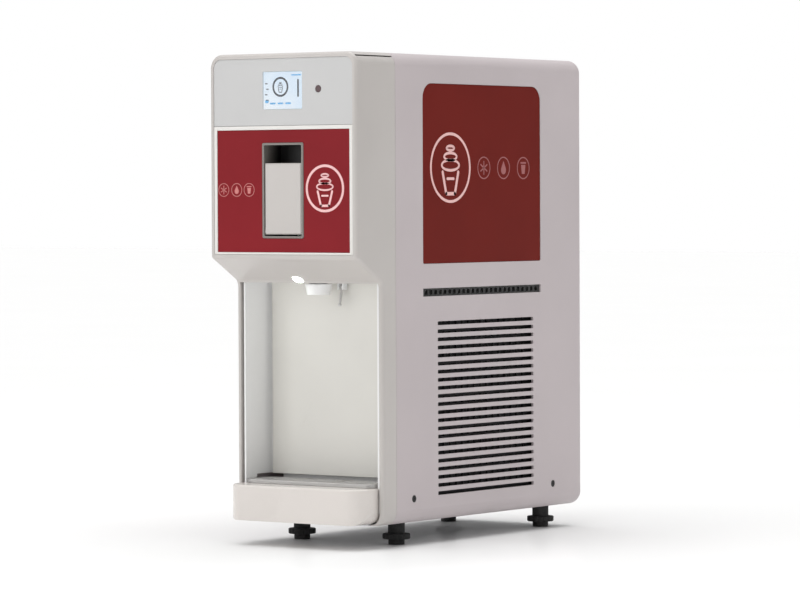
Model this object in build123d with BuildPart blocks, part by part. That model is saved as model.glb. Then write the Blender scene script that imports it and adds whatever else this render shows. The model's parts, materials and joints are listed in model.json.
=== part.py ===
"""Countertop soft serve machine, as separate pieces in one frame.

Millimetres. The origin is on the floor under the middle of the case, +Z is up, the front faces -Y
and +X is the machine's right-hand side seen from the front.
"""

import math
import os

from build123d import *

# Overall size of the machine
WIDTH = 268.0
DEPTH = 590.0
HEIGHT = 720.0
CASE_BOTTOM = 34.0
FRONT = -DEPTH / 2
REAR = DEPTH / 2

# Case
WALL = 4.0
CORNER_R = 20.0
REAR_EDGE_R = 14.0
SEAM = 0.4
SEAM_DEPTH = 94.0
COVER_SEAM_X = 112.0
TOP_SEAM_Z = 704.0
PAN_SEAM_Z = 52.0

# Clearances
GAP = 0.4
FIT = 0.05

# Head and dispensing bay, as depths behind the head's front face and heights
HEAD_LIP_Z = 422.0
BAY_TOP_Z = 386.0
BAY_FRONT = 62.0
BAY_BACK = 130.0
BAY_HALF_W = 126.5
BAY_CORNER_R = 15.0
LINER_HALF_W = 120.7
LINER_WALL = 3.0

# Panels in the head's front face
OPENING_HALF_W = 126.5
OPENING_BOTTOM = 427.5
OPENING_TOP = 712.5
OPENING_R = 13.0
PANEL_THICK = 4.2
DECOR_BOTTOM = 431.0
DECOR_TOP = 609.0
DECOR_HALF_W = 120.5
FASCIA_BOTTOM = 615.0
DISPLAY_Z = 666.0
DISPLAY_W = 72.0
DISPLAY_H = 55.0
BUTTON_X = 65.0
BUTTON_Z = 667.0
BUTTON_R = 5.0

# Draw handle and its recess
RECESS_BOTTOM = 451.5
RECESS_TOP = 590.0
RECESS_HALF_W = 37.6
RECESS_WALL = 3.4
RECESS_DEPTH = 45.0
PIVOT_DEPTH = 6.5
PIVOT_Z = 462.0
PIN_R = 2.5
HANDLE_BOTTOM = 457.0
HANDLE_TOP = 560.5
HANDLE_HALF_W = 33.4

# Valve, nozzle and freezing cylinder
PLUNGER_DEPTH = 86.0
PLUNGER_R = 10.0
CYLINDER_Z = 455.0
CYLINDER_R = 42.0
CYLINDER_WALL = 3.0
CYLINDER_FRONT = 116.0
CYLINDER_REAR = 322.0
SHAFT_R = 8.0

# Side vents, slot and red panel, as depths behind the head's front face and heights
VENT_COUNT = 22
VENT_PITCH = 11.93
VENT_TOP_Z = 324.7
VENT_H = 5.7
VENT_FRONT = 199.0
VENT_REAR = 451.0
SIDE_FRONT = 162.6
SIDE_REAR = 471.6
SLOT_BOTTOM = 364.7
SLOT_TOP = 376.5
SIDE_DECOR_BOTTOM = 412.6
SIDE_DECOR_TOP = 677.3
SIDE_DECOR_R = 22.0
POCKET_DEPTH = 2.2
SCREW_DEPTHS = (138.0, 504.0)
SCREW_Z = 70.0
SCREW_HEAD_R = 5.2

# Inner deck, feet and tray
SHELF_Z = 379.0
SHELF_THICK = 2.5
FOOT_X = 87.0
FOOT_DEPTHS = (158.0, 539.0)
FOOT_THREAD_R = 5.0
TRAY_FRONT = 18.0
TRAY_HALF_W = 123.4
TRAY_CORNER_R = 30.0
TRAY_BOTTOM = 36.8
TRAY_TOP = 89.0
GRID_TOP = 95.0

# Rear fan and condenser
FAN_DEPTH = 315.0
FAN_Z = 195.0
FAN_RIM_R = 92.0

os.makedirs("parts", exist_ok=True)


def behind(depth):
    """The Y that lies this far behind the head's front face."""
    return FRONT + depth


def block(xs, ys, zs, mode=Mode.ADD):
    """A box between two X, two Y and two Z values, in the part being built."""
    centre = (sum(xs) / 2, sum(ys) / 2, sum(zs) / 2)
    with Locations(centre):
        Box(xs[1] - xs[0], ys[1] - ys[0], zs[1] - zs[0], mode=mode)


def rod(start, end, radius, mode=Mode.ADD):
    """A round bar from one point to another along X, Y or Z, in the part being built."""
    length = (Vector(end) - Vector(start)).length
    direction = (Vector(end) - Vector(start)).normalized()
    with Locations(Plane(origin=start, z_dir=direction)):
        Cylinder(radius, length, align=(Align.CENTER, Align.CENTER, Align.MIN), mode=mode)


def save(builder, name):
    """Label a finished piece and write its STEP file."""
    builder.part.label = name
    export_step(builder.part, f"parts/{name}.step")


def pivot(x):
    """The point on the draw handle's pivot axis at this X."""
    return (x, behind(PIVOT_DEPTH), PIVOT_Z)


def mirrored(builder):
    """The same piece on the other side of the machine."""
    with BuildPart() as other:
        mirror(builder.part, about=Plane.YZ)
    return other


def both_sides(builder):
    """One piece holding the same solid on both sides of the machine."""
    with BuildPart() as pair:
        add(builder.part)
        mirror(builder.part, about=Plane.YZ)
    return pair


def round_corners(sketch, top_radius, bottom_radius):
    """Round the upper and lower corners of an upright rectangle in the sketch being drawn."""
    fillet(sketch.vertices().group_by(Axis.Y)[-1], radius=top_radius)
    fillet(sketch.vertices().group_by(Axis.Y)[0], radius=bottom_radius)


# ---------------- rear case: one rounded shell, cut into covers

def case_block(inset, front_y):
    """The rounded block behind the head, shrunk by inset on every side and ending at front_y."""
    rear_y = REAR - inset
    height = HEIGHT - CASE_BOTTOM - 2 * inset
    with BuildPart() as solid:
        with BuildSketch(Plane.XZ.offset(-rear_y)):
            with Locations((0, (HEIGHT + CASE_BOTTOM) / 2)):
                RectangleRounded(WIDTH - 2 * inset, height, CORNER_R - inset)
        extrude(amount=rear_y - front_y)
        fillet(solid.faces().sort_by(Axis.Y)[-1].edges(), radius=REAR_EDGE_R - inset)
    return solid.part


CASE_FRONT_Y = behind(SEAM_DEPTH) + SEAM
case_shell = case_block(0, CASE_FRONT_Y) - case_block(WALL, CASE_FRONT_Y - 5)

# Right side panel: wraps round the top, bottom and rear edges
with BuildPart() as side_panel_right:
    add(case_shell)
    block((COVER_SEAM_X, WIDTH / 2 + 1), (CASE_FRONT_Y - 1, REAR + 1), (0, HEIGHT + 1), Mode.INTERSECT)
    outer_plane = Plane.YZ.offset(WIDTH / 2)
    side_mid = behind((SIDE_FRONT + SIDE_REAR) / 2)
    vent_mid_z = VENT_TOP_Z - VENT_PITCH * (VENT_COUNT - 1) / 2
    with BuildSketch(outer_plane):
        with Locations((behind((VENT_FRONT + VENT_REAR) / 2), vent_mid_z)):
            with GridLocations(0, VENT_PITCH, 1, VENT_COUNT):
                RectangleRounded(VENT_REAR - VENT_FRONT, VENT_H, 1.6)
        with Locations((side_mid, (SLOT_BOTTOM + SLOT_TOP) / 2)):
            Rectangle(SIDE_REAR - SIDE_FRONT, SLOT_TOP - SLOT_BOTTOM)
    extrude(amount=-WALL - 1, mode=Mode.SUBTRACT)
    with BuildSketch(outer_plane) as decor_outline:
        with Locations((side_mid, (SIDE_DECOR_BOTTOM + SIDE_DECOR_TOP) / 2)):
            Rectangle(SIDE_REAR - SIDE_FRONT, SIDE_DECOR_TOP - SIDE_DECOR_BOTTOM)
        round_corners(decor_outline, SIDE_DECOR_R, 3)
    extrude(amount=-POCKET_DEPTH, mode=Mode.SUBTRACT)
    for depth in SCREW_DEPTHS:
        rod((WIDTH / 2 - WALL - 1, behind(depth), SCREW_Z), (WIDTH / 2 + 1, behind(depth), SCREW_Z), 2.2,
            Mode.SUBTRACT)
        rod((WIDTH / 2 - 1.8, behind(depth), SCREW_Z), (WIDTH / 2 + 1, behind(depth), SCREW_Z),
            SCREW_HEAD_R + 0.3, Mode.SUBTRACT)
save(side_panel_right, "side_panel_right")
side_panel_left = mirrored(side_panel_right)
save(side_panel_left, "side_panel_left")

# Red panel in the side's shallow pocket
with BuildPart() as decor_panel_right:
    with BuildSketch(Plane.YZ.offset(WIDTH / 2 - POCKET_DEPTH)) as decor_face:
        with Locations((side_mid, (SIDE_DECOR_BOTTOM + SIDE_DECOR_TOP) / 2)):
            Rectangle(SIDE_REAR - SIDE_FRONT - 0.6, SIDE_DECOR_TOP - SIDE_DECOR_BOTTOM - 0.6)
        round_corners(decor_face, SIDE_DECOR_R - 0.3, 2.7)
    extrude(amount=1.5)
save(both_sides(decor_panel_right), "side_decor_panels")

# Dark grille strip behind the long slot, with a rib that shows in it
with BuildPart() as slot_insert_right:
    inner_x = WIDTH / 2 - WALL
    block((inner_x - 2, inner_x), (behind(SIDE_FRONT - 6), behind(SIDE_REAR + 6)),
          (SLOT_BOTTOM - 5, SLOT_TOP + 5))
    block((inner_x, inner_x + 1.5), (behind(SIDE_FRONT + 0.3), behind(SIDE_REAR - 0.3)),
          (SLOT_BOTTOM + 0.3, SLOT_TOP - 0.3))
    with BuildSketch(Plane.YZ.offset(inner_x + 1.5)):
        with Locations((side_mid, (SLOT_BOTTOM + SLOT_TOP) / 2)):
            with GridLocations(12, 0, 25, 1):
                RectangleRounded(8, 6.5, 1)
    extrude(amount=-5, mode=Mode.SUBTRACT)
save(both_sides(slot_insert_right), "slot_inserts")

# Top panel, with the opening over the hopper
HOPPER_HALF_W = 82.0
HOPPER_FRONT = 122.0
HOPPER_REAR = 322.0
HOPPER_BOTTOM = 548.0
LID_HALF_W = 86.0
LID_FRONT = 116.0
LID_REAR = 328.0
LID_R = 18.0
hopper_mid = behind((HOPPER_FRONT + HOPPER_REAR) / 2)
cover_half = COVER_SEAM_X - SEAM
with BuildPart() as top_panel:
    add(case_shell)
    block((-cover_half, cover_half), (CASE_FRONT_Y - 1, REAR + 1), (TOP_SEAM_Z + SEAM, HEIGHT + 1),
          Mode.INTERSECT)
    with BuildSketch(Plane.XY.offset(HEIGHT)):
        with Locations((0, hopper_mid)):
            RectangleRounded(2 * LID_HALF_W + 1.2, LID_REAR - LID_FRONT + 1.2, LID_R)
    extrude(amount=-WALL - 1, mode=Mode.SUBTRACT)
save(top_panel, "top_panel")

# Back panel, with louvres, the inlet and the switch openings
BACK_SCREW_X = cover_half - 10
BACK_SCREW_MID = 378.0
BACK_SCREW_SPAN = 610.0
INLET_X = -60.0
SWITCH_X = -14.0
SOCKET_Z = 104.0
with BuildPart() as back_panel:
    add(case_shell)
    block((-cover_half, cover_half), (REAR - WALL - 0.01, REAR + 1), (PAN_SEAM_Z + SEAM, TOP_SEAM_Z),
          Mode.INTERSECT)
    with BuildSketch(Plane.XZ.offset(-REAR)):
        with Locations((0, 300), (0, 560)):
            with GridLocations(0, 14, 1, 12):
                RectangleRounded(150, 5, 2.4)
    extrude(amount=WALL + 1, mode=Mode.SUBTRACT)
    with BuildSketch(Plane.XZ.offset(-REAR)):
        with Locations((INLET_X, SOCKET_Z)):
            Rectangle(28.4, 32.4)
        with Locations((SWITCH_X, SOCKET_Z)):
            Rectangle(22.4, 30.4)
        with Locations((0, BACK_SCREW_MID)):
            with GridLocations(2 * BACK_SCREW_X, BACK_SCREW_SPAN, 2, 2):
                Circle(2.2)
    extrude(amount=WALL + 1, mode=Mode.SUBTRACT)
    with BuildSketch(Plane.XZ.offset(-REAR)):
        with Locations((0, BACK_SCREW_MID)):
            with GridLocations(2 * BACK_SCREW_X, BACK_SCREW_SPAN, 2, 2):
                Circle(4.1)
    extrude(amount=1.9, mode=Mode.SUBTRACT)
save(back_panel, "back_panel")

# Base pan: floor of the case, with bosses that take the feet's threads
with BuildPart() as base_pan:
    add(case_shell)
    block((-cover_half, cover_half), (CASE_FRONT_Y - 1, REAR + 1), (0, PAN_SEAM_Z), Mode.INTERSECT)
    block((-107, 107), (behind(64), CASE_FRONT_Y + 1), (CASE_BOTTOM, CASE_BOTTOM + 2.2))
    for depth in FOOT_DEPTHS:
        for side in (-1, 1):
            rod((side * FOOT_X, behind(depth), CASE_BOTTOM), (side * FOOT_X, behind(depth), 50), 11)
    for depth in FOOT_DEPTHS:
        for side in (-1, 1):
            rod((side * FOOT_X, behind(depth), CASE_BOTTOM - 1), (side * FOOT_X, behind(depth), 51),
                FOOT_THREAD_R + FIT, Mode.SUBTRACT)
save(base_pan, "base_pan")

# ---------------- front housing

# The bay lamp shines square to the slope under the head
LAMP_X = -14.0
LAMP_DEPTH = 54.0
LAMP_R = 8.0
slope = Vector(0, BAY_FRONT, BAY_TOP_Z - HEAD_LIP_Z).normalized()
lamp_z = HEAD_LIP_Z + (BAY_TOP_Z - HEAD_LIP_Z) * LAMP_DEPTH / BAY_FRONT
lamp_plane = Plane(origin=(LAMP_X, behind(LAMP_DEPTH), lamp_z), x_dir=(1, 0, 0), z_dir=(0, slope.Z, -slope.Y))

with BuildPart() as front_housing:
    with BuildSketch(Plane.YZ.offset(-WIDTH / 2)) as side_profile:
        with BuildLine():
            Polyline(
                (behind(0), HEAD_LIP_Z),
                (behind(0), HEIGHT),
                (behind(SEAM_DEPTH), HEIGHT),
                (behind(SEAM_DEPTH), CASE_BOTTOM),
                (behind(BAY_FRONT), CASE_BOTTOM),
                (behind(BAY_FRONT), BAY_TOP_Z),
                close=True,
            )
        make_face()
        for corner, radius in (((behind(0), HEAD_LIP_Z), 5), ((behind(0), HEIGHT), 7),
                               ((behind(BAY_FRONT), BAY_TOP_Z), 14)):
            fillet(side_profile.vertices().sort_by_distance(corner)[0], radius=radius)
    extrude(amount=WIDTH)
    with BuildSketch(Plane.XZ.offset(DEPTH / 2 + 1)):
        with Locations((0, (HEIGHT + CASE_BOTTOM) / 2)):
            RectangleRounded(WIDTH, HEIGHT - CASE_BOTTOM, CORNER_R)
    extrude(amount=-SEAM_DEPTH - 2, mode=Mode.INTERSECT)
    # Soft vertical edges at the front of the head and of the cheeks
    front_verticals = front_housing.edges().filter_by(Axis.Z).filter_by_position(
        Axis.Y, behind(-1), behind(BAY_FRONT + 1))
    fillet(front_verticals, radius=6)
    # The head's cavity, open at the rear
    with BuildSketch(Plane.YZ.offset(-WIDTH / 2 + 5)):
        with BuildLine():
            Polyline(
                (behind(5), HEAD_LIP_Z + 3.2),
                (behind(5), HEIGHT - 5),
                (behind(SEAM_DEPTH + 1), HEIGHT - 5),
                (behind(SEAM_DEPTH + 1), BAY_TOP_Z + 4.2),
                (behind(BAY_FRONT + 1.5), BAY_TOP_Z + 4.2),
                close=True,
            )
        make_face()
    extrude(amount=WIDTH - 10, mode=Mode.SUBTRACT)
    # The bay between the cheeks, rounded where the cheeks turn under the tray
    with BuildSketch(Plane.XZ.offset(-behind(SEAM_DEPTH + 1))) as bay_mouth:
        with Locations((0, (BAY_TOP_Z - 0.5 + CASE_BOTTOM + 2.2) / 2)):
            Rectangle(2 * BAY_HALF_W, BAY_TOP_Z - 0.5 - CASE_BOTTOM - 2.2)
        fillet(bay_mouth.vertices().group_by(Axis.Y)[0], radius=BAY_CORNER_R)
    extrude(amount=SEAM_DEPTH + 1 - BAY_FRONT + 12, mode=Mode.SUBTRACT)
    block((-BAY_HALF_W, BAY_HALF_W), (behind(BAY_FRONT + 3), behind(SEAM_DEPTH + 1)),
          (BAY_TOP_Z - 1, BAY_TOP_Z + 6), Mode.SUBTRACT)
    block((-108, 108), (behind(0), behind(SEAM_DEPTH + 1)), (0, CASE_BOTTOM + 3), Mode.SUBTRACT)
    # The opening for the fascia and the red panel
    with BuildSketch(Plane.XZ.offset(DEPTH / 2 + 1)) as front_opening:
        with Locations((0, (OPENING_BOTTOM + OPENING_TOP) / 2)):
            Rectangle(2 * OPENING_HALF_W, OPENING_TOP - OPENING_BOTTOM)
        round_corners(front_opening, OPENING_R, 2)
    extrude(amount=-7, mode=Mode.SUBTRACT)
    # The hole for the bay lamp, square to the slope
    with BuildSketch(lamp_plane.offset(2)):
        Circle(LAMP_R + GAP)
    extrude(amount=-10, mode=Mode.SUBTRACT)
save(front_housing, "front_housing")

# ---------------- panels in the head's front face

BOARD_FRONT = 14.0

# Light frame around the red panel, whose top bar divides it from the fascia
with BuildPart() as front_trim:
    with BuildSketch(Plane.XZ.offset(-behind(5))) as trim_outline:
        with Locations((0, (OPENING_BOTTOM + FASCIA_BOTTOM) / 2)):
            Rectangle(2 * OPENING_HALF_W - 0.4, FASCIA_BOTTOM - OPENING_BOTTOM - 0.4)
        fillet(trim_outline.vertices().group_by(Axis.Y)[0], radius=1.8)
        with Locations((0, (DECOR_BOTTOM + DECOR_TOP) / 2)):
            Rectangle(2 * DECOR_HALF_W, DECOR_TOP - DECOR_BOTTOM, mode=Mode.SUBTRACT)
    extrude(amount=5 - 0.3)
    fillet(front_trim.faces().sort_by(Axis.Y)[0].edges(), radius=0.8)
save(front_trim, "front_trim")

# Fascia above the trim, with the display window and the button hole
with BuildPart() as fascia:
    with BuildSketch(Plane.XZ.offset(-behind(5))) as fascia_outline:
        with Locations((0, (FASCIA_BOTTOM + OPENING_TOP) / 2)):
            Rectangle(2 * OPENING_HALF_W - 0.4, OPENING_TOP - FASCIA_BOTTOM - 0.4)
        round_corners(fascia_outline, OPENING_R - 0.2, 0.6)
        with Locations((0, DISPLAY_Z)):
            RectangleRounded(DISPLAY_W, DISPLAY_H, 2, mode=Mode.SUBTRACT)
        with Locations((BUTTON_X, BUTTON_Z)):
            Circle(BUTTON_R + 0.35, mode=Mode.SUBTRACT)
    extrude(amount=PANEL_THICK)
save(fascia, "fascia")

# Red front panel with the cut-out for the handle recess
with BuildPart() as front_decor:
    with BuildSketch(Plane.XZ.offset(-behind(5))):
        with Locations((0, (DECOR_BOTTOM + DECOR_TOP) / 2)):
            Rectangle(2 * DECOR_HALF_W - 0.4, DECOR_TOP - DECOR_BOTTOM - 0.4)
        with Locations((0, (RECESS_BOTTOM + RECESS_TOP) / 2)):
            RectangleRounded(2 * RECESS_HALF_W + 0.6, RECESS_TOP - RECESS_BOTTOM + 0.6, 3,
                             mode=Mode.SUBTRACT)
    extrude(amount=PANEL_THICK - 0.4)
save(front_decor, "front_decor")

# Carrier plate behind them, fixed inside the head, with standoffs for the control board
CARRIER_BOTTOM = 430.0
CARRIER_TOP = 714.0
CARRIER_W = 254.0
with BuildPart() as front_carrier:
    with BuildSketch(Plane.XZ.offset(-behind(8))):
        with Locations((0, (CARRIER_BOTTOM + CARRIER_TOP) / 2)):
            RectangleRounded(CARRIER_W, CARRIER_TOP - CARRIER_BOTTOM, 10)
        with Locations((0, DISPLAY_Z)):
            RectangleRounded(DISPLAY_W + 2, DISPLAY_H + 2, 2, mode=Mode.SUBTRACT)
        with Locations((BUTTON_X, BUTTON_Z)):
            Circle(7.4, mode=Mode.SUBTRACT)
        with Locations((0, (RECESS_BOTTOM + RECESS_TOP) / 2)):
            RectangleRounded(2 * RECESS_HALF_W + 0.6, RECESS_TOP - RECESS_BOTTOM + 0.6, 3,
                             mode=Mode.SUBTRACT)
    extrude(amount=3)
    for x in (-56, 56):
        for z in (626, 706):
            rod((x, behind(8), z), (x, behind(BOARD_FRONT), z), 3)
save(front_carrier, "front_carrier")

# Display: a glass lens in front of the screen module
with BuildPart() as display_lens:
    with BuildSketch(Plane.XZ.offset(-behind(2.8))):
        with Locations((0, DISPLAY_Z)):
            RectangleRounded(DISPLAY_W - 0.5, DISPLAY_H - 0.5, 1.8)
    extrude(amount=1.8)
save(display_lens, "display_lens")

with BuildPart() as display_module:
    block((-DISPLAY_W / 2 + 0.6, DISPLAY_W / 2 - 0.6), (behind(2.9), behind(11)),
          (DISPLAY_Z - DISPLAY_H / 2 + 0.6, DISPLAY_Z + DISPLAY_H / 2 - 0.6))
save(display_module, "display_module")

# Power button: a short sprung push through the fascia, with a collar that keeps it in
with BuildPart() as power_button:
    rod((BUTTON_X, behind(9), BUTTON_Z), (BUTTON_X, behind(0.5), BUTTON_Z), BUTTON_R)
    fillet(power_button.faces().sort_by(Axis.Y)[0].edges(), radius=0.8)
    rod((BUTTON_X, behind(5.6), BUTTON_Z), (BUTTON_X, behind(7), BUTTON_Z), BUTTON_R + 1.6)
save(power_button, "power_button")

# Control board on the carrier's standoffs
with BuildPart() as control_board:
    block((-62, 62), (behind(BOARD_FRONT), behind(BOARD_FRONT + 1.6)), (620, 711))
    board_back = BOARD_FRONT + 1.6
    for x, z, w, h, t in ((-30, 680, 26, 26, 3), (10, 690, 18, 12, 2.5), (38, 690, 20, 16, 12),
                          (-40, 640, 30, 14, 9), (8, 650, 34, 20, 6), (45, 645, 12, 26, 14)):
        block((x - w / 2, x + w / 2), (behind(board_back), behind(board_back + t)), (z - h / 2, z + h / 2))
save(control_board, "control_board")

# ---------------- handle recess, draw handle and pin

recess_mid_z = (RECESS_BOTTOM + RECESS_TOP) / 2
with BuildPart() as handle_recess:
    with BuildSketch(Plane.XZ.offset(-behind(RECESS_DEPTH))):
        with Locations((0, recess_mid_z)):
            RectangleRounded(2 * RECESS_HALF_W, RECESS_TOP - RECESS_BOTTOM, 3)
    extrude(amount=RECESS_DEPTH - 0.3)
    fillet(handle_recess.faces().sort_by(Axis.Y)[0].edges(), radius=0.9)
    with BuildSketch(Plane.XZ.offset(-behind(RECESS_DEPTH - 3))):
        with Locations((0, recess_mid_z)):
            RectangleRounded(2 * (RECESS_HALF_W - RECESS_WALL), RECESS_TOP - RECESS_BOTTOM - 2 * 3, 2)
    extrude(amount=RECESS_DEPTH, mode=Mode.SUBTRACT)
    # Slot in the back wall for the handle's arm
    block((-8, 8), (behind(RECESS_DEPTH - 4), behind(RECESS_DEPTH + 1)), (RECESS_BOTTOM + 3, 490),
          Mode.SUBTRACT)
    rod(pivot(-RECESS_HALF_W - 1), pivot(RECESS_HALF_W + 1), PIN_R + 0.01, Mode.SUBTRACT)
save(handle_recess, "handle_recess")

with BuildPart() as handle_pin:
    rod(pivot(-RECESS_HALF_W + 0.2), pivot(RECESS_HALF_W - 0.2), PIN_R)
save(handle_pin, "handle_pin")

FORK_END = 103.0
with BuildPart() as draw_handle:
    block((-HANDLE_HALF_W, HANDLE_HALF_W), (behind(1), behind(8)), (HANDLE_BOTTOM, HANDLE_TOP))
    chamfer(draw_handle.faces().sort_by(Axis.Y)[0].edges(), length=1.8)
    # Lip that the fingers pull on, and side returns that stiffen the plate
    block((-HANDLE_HALF_W, HANDLE_HALF_W), (behind(7), behind(20)), (HANDLE_TOP - 5, HANDLE_TOP))
    for side in (-1, 1):
        inner, outer = sorted((side * (HANDLE_HALF_W - 3), side * HANDLE_HALF_W))
        block((inner, outer), (behind(7), behind(14)), (PIVOT_Z + 4, HANDLE_TOP))
    fillet(draw_handle.edges().filter_by(Axis.X).sort_by_distance((0, behind(20), HANDLE_TOP))[0], radius=2)
    rod(pivot(-HANDLE_HALF_W), pivot(HANDLE_HALF_W), 4.6)
    # Arm to the valve, ending in a fork that straddles the plunger's neck
    block((-6, 6), (behind(PIVOT_DEPTH), behind(72)), (PIVOT_Z - 2.5, PIVOT_Z + 2.5))
    block((-10, 10), (behind(70), behind(FORK_END)), (PIVOT_Z - 2.5, PIVOT_Z + 2.5))
    block((-4.6, 4.6), (behind(76), behind(FORK_END + 1)), (PIVOT_Z - 4, PIVOT_Z + 4), Mode.SUBTRACT)
    rod(pivot(-HANDLE_HALF_W - 1), pivot(HANDLE_HALF_W + 1), PIN_R + FIT, Mode.SUBTRACT)
save(draw_handle, "draw_handle")

# ---------------- valve, nozzle and cylinder door

BLOCK_BOTTOM = 390.0
BLOCK_TOP = 444.0
PORT_Z = 420.0
PORT_R = 5.5
DOOR_FRONT = 106.0
NOZZLE_BORE_R = 11.5
NOZZLE_TOP = BLOCK_BOTTOM - 6.0 - GAP
axis_y = behind(PLUNGER_DEPTH)

# The plunger slides in the block and shuts the port that leads from the freezing cylinder
with BuildPart() as valve_block:
    block((-24, 24), (behind(72), behind(DOOR_FRONT)), (BLOCK_BOTTOM, BLOCK_TOP))
    fillet(valve_block.edges().filter_by(Axis.Z), radius=4)
    # Spout, whose lower end fits up inside the nozzle
    rod((0, axis_y, BLOCK_BOTTOM - 6), (0, axis_y, BLOCK_BOTTOM), 14)
    rod((0, axis_y, NOZZLE_TOP - 5), (0, axis_y, BLOCK_BOTTOM), NOZZLE_BORE_R - FIT)
    rod((0, axis_y, NOZZLE_TOP - 6), (0, axis_y, BLOCK_TOP + 1), PLUNGER_R + FIT, Mode.SUBTRACT)
    rod((0, axis_y, PORT_Z), (0, behind(DOOR_FRONT + 1), PORT_Z), PORT_R, Mode.SUBTRACT)
save(valve_block, "valve_block")

GROOVE_HALF = 9.5
SEAL_HEIGHTS = (400.0, 432.0)
SEAL_HALF = 1.5
with BuildPart() as valve_plunger:
    rod((0, axis_y, BLOCK_BOTTOM - 4), (0, axis_y, PIVOT_Z - GROOVE_HALF), PLUNGER_R - 2)
    for low, high in ((BLOCK_BOTTOM - 4, SEAL_HEIGHTS[0] - SEAL_HALF),
                      (SEAL_HEIGHTS[0] + SEAL_HALF, SEAL_HEIGHTS[1] - SEAL_HALF),
                      (SEAL_HEIGHTS[1] + SEAL_HALF, PIVOT_Z - GROOVE_HALF),
                      (PIVOT_Z + GROOVE_HALF, PIVOT_Z + GROOVE_HALF + 7)):
        rod((0, axis_y, low), (0, axis_y, high), PLUNGER_R)
    rod((0, axis_y, PIVOT_Z - GROOVE_HALF), (0, axis_y, PIVOT_Z + GROOVE_HALF), 4)
save(valve_plunger, "valve_plunger")

with BuildPart() as plunger_seals:
    for z in SEAL_HEIGHTS:
        rod((0, axis_y, z - SEAL_HALF), (0, axis_y, z + SEAL_HALF), PLUNGER_R)
    rod((0, axis_y, BLOCK_BOTTOM), (0, axis_y, BLOCK_TOP), PLUNGER_R - 2, Mode.SUBTRACT)
save(plunger_seals, "plunger_seals")

# Nozzle with a star-shaped outlet, pushed up on the block's spout through the bay's ceiling
NOZZLE_BOTTOM = 368.0
with BuildPart() as nozzle:
    with BuildSketch(Plane.XY.offset(NOZZLE_BOTTOM)):
        with Locations((0, axis_y)):
            Circle(17)
    with BuildSketch(Plane.XY.offset(NOZZLE_TOP)):
        with Locations((0, axis_y)):
            Circle(20)
    loft()
    rod((0, axis_y, NOZZLE_BOTTOM + 6), (0, axis_y, NOZZLE_TOP + 1), NOZZLE_BORE_R, Mode.SUBTRACT)
    with BuildSketch(Plane.XY.offset(NOZZLE_BOTTOM - 1)):
        with Locations((0, axis_y)):
            Circle(5)
            with PolarLocations(5.5, 6):
                RegularPolygon(3.4, 3)
    extrude(amount=8, mode=Mode.SUBTRACT)
save(nozzle, "nozzle")


def on_axis(depth):
    """The point on the freezing cylinder's axis at this depth."""
    return (0, behind(depth), CYLINDER_Z)


with BuildPart() as cylinder_door:
    rod(on_axis(DOOR_FRONT), on_axis(CYLINDER_FRONT - 1.5), 56)
    rod(on_axis(CYLINDER_FRONT - 1.5), on_axis(124), 12)
    rod(on_axis(112), on_axis(125), 6 + FIT, Mode.SUBTRACT)
    rod((0, behind(DOOR_FRONT - 1), PORT_Z), (0, behind(CYLINDER_FRONT), PORT_Z), PORT_R, Mode.SUBTRACT)
save(cylinder_door, "cylinder_door")

KNOB_CIRCLE_R = 49.0
with BuildPart() as door_knobs:
    for angle in (45, 135, 225, 315):
        x = KNOB_CIRCLE_R * math.cos(math.radians(angle))
        z = CYLINDER_Z + KNOB_CIRCLE_R * math.sin(math.radians(angle))
        rod((x, behind(93), z), (x, behind(DOOR_FRONT), z), 7)
save(door_knobs, "door_knobs")

FEED_DEPTH = 300.0
with BuildPart() as freezing_cylinder:
    rod(on_axis(CYLINDER_FRONT), on_axis(CYLINDER_FRONT + 5), 56)
    rod(on_axis(CYLINDER_FRONT), on_axis(CYLINDER_REAR), CYLINDER_R + CYLINDER_WALL)
    rod(on_axis(CYLINDER_FRONT - 1), on_axis(CYLINDER_REAR - 4), CYLINDER_R, Mode.SUBTRACT)
    rod(on_axis(CYLINDER_REAR - 5), on_axis(CYLINDER_REAR + 1), 14, Mode.SUBTRACT)
    rod(on_axis(FEED_DEPTH), (0, behind(FEED_DEPTH), CYLINDER_Z + 60), 7, Mode.SUBTRACT)
save(freezing_cylinder, "freezing_cylinder")

# Evaporator: copper turns round the cylinder, joined by a header below
COIL_TURNS = 10
COIL_PITCH = 14.0
COIL_FRONT = 148.0
COIL_R = CYLINDER_R + CYLINDER_WALL + 4.2
with BuildPart() as evaporator_coil:
    for turn in range(COIL_TURNS):
        with Locations(Plane(origin=on_axis(COIL_FRONT + COIL_PITCH * turn), z_dir=(0, 1, 0))):
            Torus(COIL_R, 3.8)
    header_z = CYLINDER_Z - COIL_R - 3
    rod((0, behind(COIL_FRONT - 5), header_z), (0, behind(COIL_FRONT + COIL_PITCH * 9 + 5), header_z), 2.6)
save(evaporator_coil, "evaporator_coil")

with BuildPart() as insulation:
    block((-72, 72), (behind(138), behind(316)), (SHELF_Z + SHELF_THICK, 530))
    fillet(insulation.edges().filter_by(Axis.Y), radius=8)
    rod(on_axis(137), on_axis(317), 58, Mode.SUBTRACT)
    rod(on_axis(FEED_DEPTH), (0, behind(FEED_DEPTH), 531), 9.4, Mode.SUBTRACT)
save(insulation, "insulation")

# ---------------- dasher and its drive

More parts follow.
